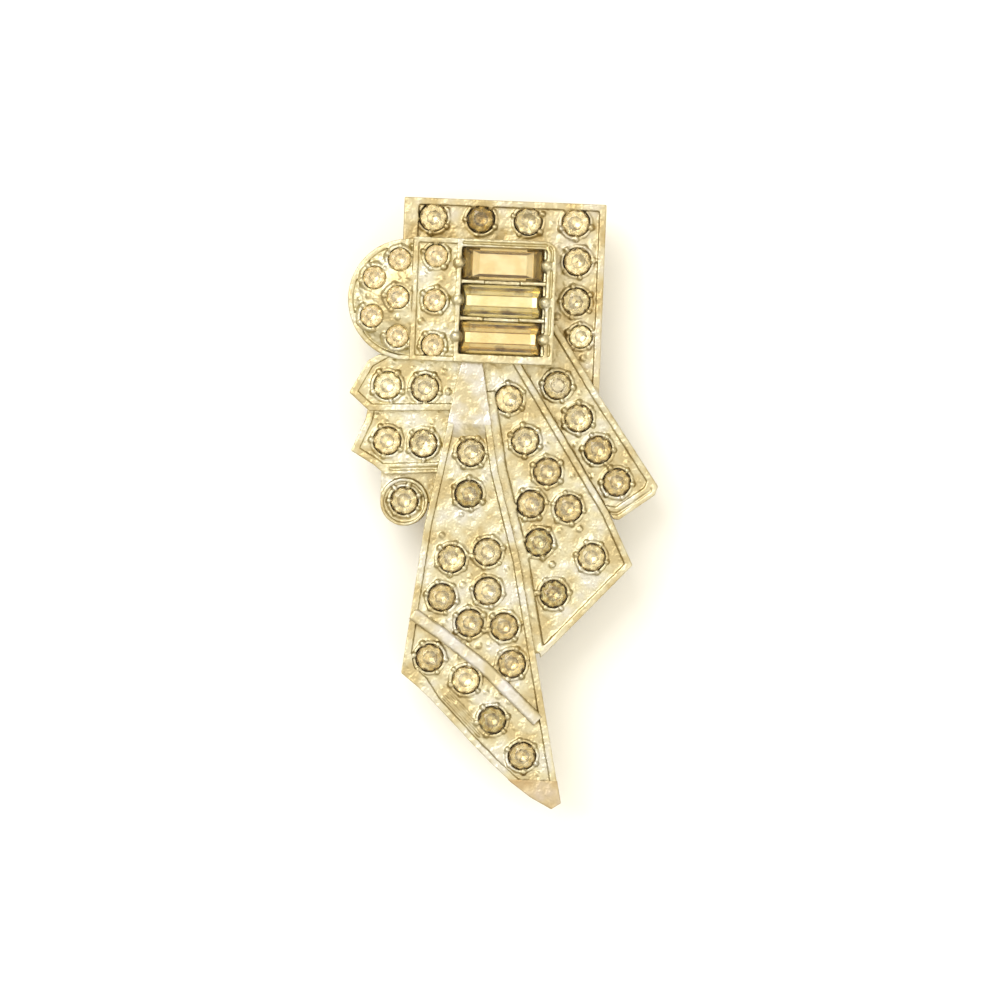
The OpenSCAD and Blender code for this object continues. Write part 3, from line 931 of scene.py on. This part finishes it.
plan, top = frame_plan(), top_of("channel")
none = frame_widths(0, 0, 0, 0)
groove = frame_widths(0, GROOVE_END, GROOVE_END, 0)
bm = bmesh.new()
add_strips(bm, plan, none, frame_widths(LOW_RIM_W, LIP_W, LIP_W, LEFT_RIM_W), top - RIM_DEPTH, top)
add_strips(bm, plan, groove, frame_widths(0, RIGHT_RIM_END, UPPER_RIM_END, 0), top - RIM_DEPTH, top)
add_strips(bm, plan, none, groove, top - RIM_DEPTH, top - GROOVE_SINK)
for below, above in zip(boxes, boxes[1:]):
    y = (below[1].y + above[0].y) / 2
    left, right = below[0].x, below[1].x
    add_sweep(bm, [(left - PRONG_OUT, y), (right + PRONG_OUT, y)], lifted(RAIL, channel_z))
    add_sweep(bm, [(left - PRONG_OUT, y), (left + CLAW_REACH, y)], lifted(CLAW, channel_z))
    add_sweep(bm, [(right - CLAW_REACH, y), (right + PRONG_OUT, y)], lifted(CLAW, channel_z))
for low, high in boxes:
    y = (low.y + high.y) / 2
    add_bead(bm, low.x - PRONG_OUT, y, channel_z + PRONG_LIFT, PRONG_R)
    add_bead(bm, high.x + PRONG_OUT, y, channel_z + PRONG_LIFT, PRONG_R)
melt("cast_channel_frame", [slab, new_object("channel_relief", bm)], clean_gilt, kept_share=0.45)

# %% [markdown]
# A chaton is leaded glass with a foil behind it. Its crown lets light in, and the foil on its
# pavilion throws it back out through the facets. A cup of foil round the stone would do, but it would
# lie where the glass ends, and two surfaces in one place flicker. So one closed stone gets two
# finishes: clear glass, and foil below the girdle. Each stone's dark ring is partly the stain that damp
# leaves in old foil where it creeps in at the setting, and partly painted shade of the seat. A value at
# each corner of the mesh says how close it is to the setting, and the foil reads it; at the point of a
# round stone the value paints a dark reflection. Lead raises the glass's IOR to about 1.6.

# %% Foiled glass
GLASS_IOR = 1.6
POLISH = 0.02  # the roughness of polished glass
STAIN_AND_PAINTED_DARK = "stain"  # the value at each corner: 1 at the setting, 0 where the foil is clean and carries no painted shade
DULL_FROM = 0.4  # where in the patches' noise the dull foil ends
BRIGHT_FROM = 0.6  # and where the bright foil starts
STAIN_AND_DARK_FROM = 1.0  # corner value and patches together, where the staining and painted shade start
STAIN_AND_DARK_FULL = 1.28  # and where it hides the foil


def clear_glass(name, colour):
    """Polished leaded glass."""
    material, tree = new_material(name)
    shader = add_node(tree, "ShaderNodeBsdfPrincipled", in_Base_Color=linear(colour), in_IOR=GLASS_IOR,
                      in_Roughness=POLISH, in_Transmission_Weight=1.0)
    add_node(tree, "ShaderNodeOutputMaterial", [("Surface", shader.outputs["BSDF"])])
    return material


def foil(name, bright, dull, stained, patch_mm=0.33, roughness=0.2):
    """Metal foil on glass, which dulls in small patches and darkens where the mesh marks it: real staining
    and painted shade along the setting, and a painted dark reflection at the point of a round stone.
    """
    material, tree = new_material(name)
    place = add_node(tree, "ShaderNodeTexCoord").outputs["Object"]
    patches = add_node(tree, "ShaderNodeTexNoise", [("Vector", place)],
                       in_Scale=1 / (patch_mm * MM), in_Detail=2.0)
    plain = add_node(tree, "ShaderNodeValToRGB", [("Fac", patches.outputs["Fac"])],
                     stops=[(DULL_FROM, dull), (BRIGHT_FROM, bright)])
    near = add_node(tree, "ShaderNodeAttribute", attribute_name=STAIN_AND_PAINTED_DARK)
    ragged = add_node(tree, "ShaderNodeMath", [(0, near.outputs["Fac"]), (1, patches.outputs["Fac"])],
                      operation="ADD")
    stain = add_node(tree, "ShaderNodeMapRange", [("Value", ragged.outputs["Value"])],
                     in_From_Min=STAIN_AND_DARK_FROM, in_From_Max=STAIN_AND_DARK_FULL)
    colour = add_node(tree, "ShaderNodeMix",
                      [("Factor", stain.outputs["Result"]), (6, plain.outputs["Color"])],
                      data_type="RGBA", in_7=linear(stained))
    shader = add_node(tree, "ShaderNodeBsdfPrincipled", [("Base Color", colour.outputs[2])],
                      in_Metallic=1.0, in_Roughness=roughness)
    add_node(tree, "ShaderNodeOutputMaterial", [("Surface", shader.outputs["BSDF"])])
    return material


chaton_glass = clear_glass("chaton_glass", "#FFFEFA")
# The third colour of each foil darkens it at the setting: staining and painted shade of the seat.
TONES = {
    "pale": foil("foil_pale", "#FBF8E4", "#F6EED2", "#A09060"),
    "sand": foil("foil_sand", "#F3EAD3", "#EBDEBF", "#BCAA78"),
    "cream": foil("foil_cream", "#F8F2DB", "#EFE3C1", "#806C40"),
    "straw": foil("foil_straw", "#F0EBD8", "#E3D8B5", "#766238"),
    "brown": foil("foil_brown", "#EDE6CD", "#D4C49A", "#64502C"),
    "dark": foil("foil_dark", "#E9E5C8", "#C4B182", "#50402A"),
    "umber": foil("foil_umber", "#DCCFA6", "#AC9664", "#44351F"),
}
print("tones of the foil:", len(TONES))

# %% [markdown]
# The stones are brilliants: a table, eight stars, eight kites and sixteen upper facets above the
# girdle, eight mains and sixteen lower facets below it. A smooth lens with a bump would be quicker,
# but only true facets break the light up. Each stone is turned and tipped by chance in its seat,
# which is what makes neighbouring stones flash differently.

# %% The cut of a round stone
TABLE_SHARE = 0.56
CROWN_SHARE = 0.36
GIRDLE_H = 0.08
MAINS_SHARE = 0.4  # where the lower facets end, in the stone's radius
MOST_TIP = 7.0  # degrees
PAINTED_DARK_POINT = 0.8  # the most darkening at the point of a stone, a painted dark reflection of the camera above it


def add_brilliant(bm, stone, draw):
    """A round brilliant, with foil, the second material, on the faces below its girdle."""
    (x, y), r, girdle = stone
    half = math.pi / 8
    star = (TABLE_SHARE + 1) / 2
    crown = CROWN_SHARE * r
    star_z = GIRDLE_H + crown * (1 - star * math.cos(half)) / (1 - TABLE_SHARE)
    mains_z = -PAVILION_SHARE * r * (1 - MAINS_SHARE * math.cos(half))
    tip = math.radians(draw.uniform(0, MOST_TIP))
    towards = draw.uniform(0, 2 * math.pi)
    lean = Matrix.Rotation(tip, 4, Vector((math.cos(towards), math.sin(towards), 0)))
    turned = Matrix.Rotation(draw.uniform(0, 2 * math.pi), 4, "Z")
    place = Matrix.Translation((x, y, girdle)) @ lean @ turned
    stain = bm.verts.layers.float[STAIN_AND_PAINTED_DARK]

    def ring(count, share, z, shift):
        angles = [2 * math.pi * i / count + shift for i in range(count)]
        return [bm.verts.new(place @ Vector((share * r * math.cos(a), share * r * math.sin(a), z)))
                for a in angles]

    table = ring(8, TABLE_SHARE, GIRDLE_H + crown, 0)
    stars = ring(8, star, star_z, half)
    upper = ring(16, 1, GIRDLE_H, 0)
    lower = ring(16, 1, 0, 0)
    mains = ring(8, MAINS_SHARE, mains_z, half)
    culet = bm.verts.new(place @ Vector((0, 0, -PAVILION_SHARE * r)))
    # The girdle's corners take the full staining and painted shade of the seat.
    for vert in lower:
        vert[stain] = 1
    # The point is darkened by chance, a painted dark reflection of the camera above the stone.
    culet[stain] = draw.uniform(0, PAINTED_DARK_POINT)
    bm.faces.new(table)
    for i in range(8):
        j = (i + 1) % 8
        a, b, c = 2 * i, 2 * i + 1, (2 * i + 2) % 16
        bm.faces.new((table[i], table[j], stars[i]))
        bm.faces.new((table[i], stars[i], upper[a], stars[i - 1]))
        bm.faces.new((stars[i], upper[b], upper[a]))
        bm.faces.new((stars[i], upper[c], upper[b]))
        bm.faces.new((upper[a], upper[b], lower[b], lower[a]))
        bm.faces.new((upper[b], upper[c], lower[c], lower[b]))
        foiled = [(culet, mains[i - 1], mains[i]), (mains[i - 1], lower[a], mains[i]),
                  (mains[i], lower[a], lower[b]), (mains[i], lower[b], lower[c])]
        for corners in foiled:
            bm.faces.new(corners).material_index = 1


print("the table is", TABLE_SHARE, "of a stone's width")

# %% [markdown]
# The photo shows some stones darker than others, because their foil has aged more. Most of them have
# the straw tone, and these lists name the others.

# %% Round stones
DARKER = {
    "bar_stone_2": "umber", "middle_stone_3": "brown", "middle_stone_4": "brown", "middle_stone_5": "brown",
    "middle_stone_6": "dark", "middle_stone_8": "dark", "side_stone_3": "brown", "side_stone_4": "brown",
    "long_stone_2": "dark", "long_stone_12": "dark", "long_stone_5": "brown", "long_stone_7": "brown",
    "long_stone_8": "brown", "long_stone_9": "brown", "long_stone_10": "brown", "long_stone_13": "brown",
}  # fmt: skip
LIGHTER = {"bar_small_stone_1": "pale", "high_tab_stone_1": "pale", "scroll_stones": "sand"}
CREAM = ("bar_stone_1", "bar_stone_4", "bar_stone_5", "low_tab_stone_1", "long_stone_11", "middle_stone_1")
TONE_OF = DARKER | LIGHTER | dict.fromkeys(CREAM, "cream")
FIRST_SEED = 100
for k, name in enumerate(ROUND_NODES):
    tone = TONE_OF.get(name, "straw")
    draw = random.Random(FIRST_SEED + k)
    bm = bmesh.new()
    bm.verts.layers.float.new(STAIN_AND_PAINTED_DARK)
    for stone in STONES[name]:
        add_brilliant(bm, stone, draw)
    obj = new_object("chaton_" + name, bm)
    obj.data.transform(Matrix.Scale(MM, 4))
    for material in (chaton_glass, TONES[tone]):
        obj.data.materials.append(material)
    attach(obj, "root")
    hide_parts(name)
print("stones cut:", len(ROUND_NODES))

# %% [markdown]
# The baguettes are step cut: long flat steps that show as bands of light along the stone. The steps
# say how much shorter and narrower each level is than the girdle, and how high it lies in the crown
# or the pavilion, from 0 at the girdle to 1 at the table or the keel. Each level is a ring of four
# corners, and faces join the rings. One stone has a broad plain keel, and the two others have more and
# narrower steps.

# %% Baguettes
BAGUETTE_GIRDLE = 0.9  # height of the girdle above the keel, in millimetres
CROWN_STEPS = [(0.0, 0.0, 0.0), (0.9, 0.2, 0.55), (1.7, 0.5, 1.0)]
BROAD_STEPS = [(0.8, 0.3, 0.5), (1.8, 0.6, 0.8), (3.0, 1.1, 1.0)]
NARROW_STEPS = [(0.6, 0.3, 0.45), (0.8, 0.9, 0.57), (1.0, 1.2, 0.75), (1.3, 1.8, 0.85), (1.6, 2.0, 1.0)]
STAINED_AND_SHADED_END = 2.0  # where a stone is this much shorter than at its girdle, the foil is clean and carries no painted shade
BAGUETTE_FOIL = {"patch_mm": 1.2, "roughness": 0.18}
BAGUETTE_LOOKS = {
    "baguette_1": (BROAD_STEPS, clear_glass("amber_glass", "#FFFAF0"),
                   foil("foil_amber", "#F4E4B2", "#EBD59A", "#8C7544", **BAGUETTE_FOIL)),
    "baguette_2": (NARROW_STEPS, clear_glass("lemon_glass", "#FFFCEE"),
                   foil("foil_lemon", "#F7ECBC", "#F1E2A6", "#8E794A", **BAGUETTE_FOIL)),
    "baguette_3": (NARROW_STEPS, clear_glass("honey_glass", "#FFFAE8"),
                   foil("foil_honey", "#F7E7B4", "#EFD99C", "#8A7142", **BAGUETTE_FOIL)),
}


def add_step_cut(bm, low, high, pavilion):
    """A step-cut stone in a box, with foil, the second material, below its girdle."""
    middle = (low + high) / 2
    size = high - low
    girdle = low.z + BAGUETTE_GIRDLE
    levels = [(s, n, girdle - BAGUETTE_GIRDLE * t) for s, n, t in reversed(pavilion)]
    levels.append((0.0, 0.0, girdle))
    crown = high.z - girdle - GIRDLE_H
    levels += [(s, n, girdle + GIRDLE_H + crown * t) for s, n, t in CROWN_STEPS]
    stain = bm.verts.layers.float.new(STAIN_AND_PAINTED_DARK)
    rings = []
    for shorter, narrower, z in levels:
        x, y = (size.x - shorter) / 2, (size.y - narrower) / 2
        corners = box_plan(middle.x - x, middle.y - y, middle.x + x, middle.y + y)
        rings.append([bm.verts.new((*corner, z)) for corner in corners])
        # The foil's staining and painted shade are strongest at the girdle and fade on the shorter steps.
        for vert in rings[-1]:
            vert[stain] = max(0, 1 - shorter / STAINED_AND_SHADED_END)
    for k, (ring, following) in enumerate(zip(rings, rings[1:])):
        for i in range(4):
            j = (i + 1) % 4
            face = bm.faces.new((ring[i], ring[j], following[j], following[i]))
            face.material_index = 1 if k < len(pavilion) else 0
    bm.faces.new(rings[0][::-1]).material_index = 1
    bm.faces.new(rings[-1])


for name in BAGUETTES:
    pavilion, *materials = BAGUETTE_LOOKS[name]
    bm = bmesh.new()
    add_step_cut(bm, *baguette_box(name), pavilion)
    obj = new_object("step_cut_" + name, bm)
    obj.data.transform(Matrix.Scale(MM, 4))
    for material in materials:
        obj.data.materials.append(material)
    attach(obj, "root")
    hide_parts(name)
    print(name, "has", len(obj.data.polygons), "faces")

# %% [markdown]
# The hidden clip is pressed from sheet, and its construction has that shape already, so it isn't built
# again. A narrow bevel breaks its edges, as the press and the polishing wheel did, and catches the
# light from the side.

# %% Hidden clip
CLIP_BEVEL_MM = 0.15
BEVEL_SEGMENTS = 3
SHARPEST_KEPT = 40  # degrees: edges that turn less than this stay as they are
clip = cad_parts["back_clip"]
clip.data.materials.clear()
clip.data.materials.append(clip_plating)
bevel = clip.modifiers.new("broken_edges", "BEVEL")
bevel.width = CLIP_BEVEL_MM * MM
bevel.segments = BEVEL_SEGMENTS
bevel.limit_method = "ANGLE"
bevel.angle_limit = math.radians(SHARPEST_KEPT)
print("clip faces:", len(clip.data.polygons))

# %% [markdown]
# The clip lies on a plain pale board of matt card, so the board has no gloss and no pattern. It
# reaches far past the picture, so that its edge shows from no side.

# %% Floor
FLOOR_HALF = 1.5
bm = bmesh.new()
bmesh.ops.create_grid(bm, x_segments=1, y_segments=1, size=FLOOR_HALF)
floor = new_object("floor", bm)
board, tree = new_material("pale_board")
shader = add_node(tree, "ShaderNodeBsdfPrincipled", in_Base_Color=linear("#FFFFFB"), in_Roughness=0.9)
add_node(tree, "ShaderNodeOutputMaterial", [("Surface", shader.outputs["BSDF"])])
floor.data.materials.append(board)
print("floor:", 2 * FLOOR_HALF, "m wide")

# %% [markdown]
# Metal shows the room that it is in, so the room matters more than the lamps. A photo of a room would
# do, but a ramp over the height of the sky is enough: cool white overhead, cream round it, and darker
# and warmer towards the horizon, so that flat faces shine and every slope is drawn in tan. A large
# lamp from the upper left lays a faint shadow to the right, and a weaker one fills that shadow.

# %% Room and lamps
ROOM_STRENGTH = 1.45
ROOM_STOPS = [(0.0, "#80755F"), (0.3, "#B0A58C"), (0.5, "#DBD4C4"), (0.9, "#E0D9CC"),
              (0.975, "#E8E2D8"), (0.995, "#EAE7E4")]  # from the horizon to straight above

world = bpy.data.worlds.new("bright_room")
world.use_nodes = True
scene.world = world
tree = world.node_tree
tree.nodes.clear()
direction = add_node(tree, "ShaderNodeTexCoord").outputs["Generated"]
height = add_node(tree, "ShaderNodeSeparateXYZ", [("Vector", direction)]).outputs["Z"]
room = add_node(tree, "ShaderNodeValToRGB", [("Fac", height)], stops=ROOM_STOPS)
light = add_node(tree, "ShaderNodeBackground", [("Color", room.outputs["Color"])],
                 in_Strength=ROOM_STRENGTH)
add_node(tree, "ShaderNodeOutputWorld", [("Surface", light.outputs["Background"])])


def add_lamp(name, place, size, power):
    """A square white area lamp that looks at the clip."""
    data = bpy.data.lights.new(name, "AREA")
    data.size = size
    data.energy = power
    obj = bpy.data.objects.new(name, data)
    obj.location = place
    obj.rotation_euler = (-Vector(place)).to_track_quat("-Z", "Y").to_euler()
    scene.collection.objects.link(obj)


add_lamp("key", (-0.35, 0.3, 0.6), size=0.6, power=3.6)
add_lamp("fill", (0.4, -0.2, 0.6), size=0.7, power=1.3)
print("lamps:", len(bpy.data.lights))
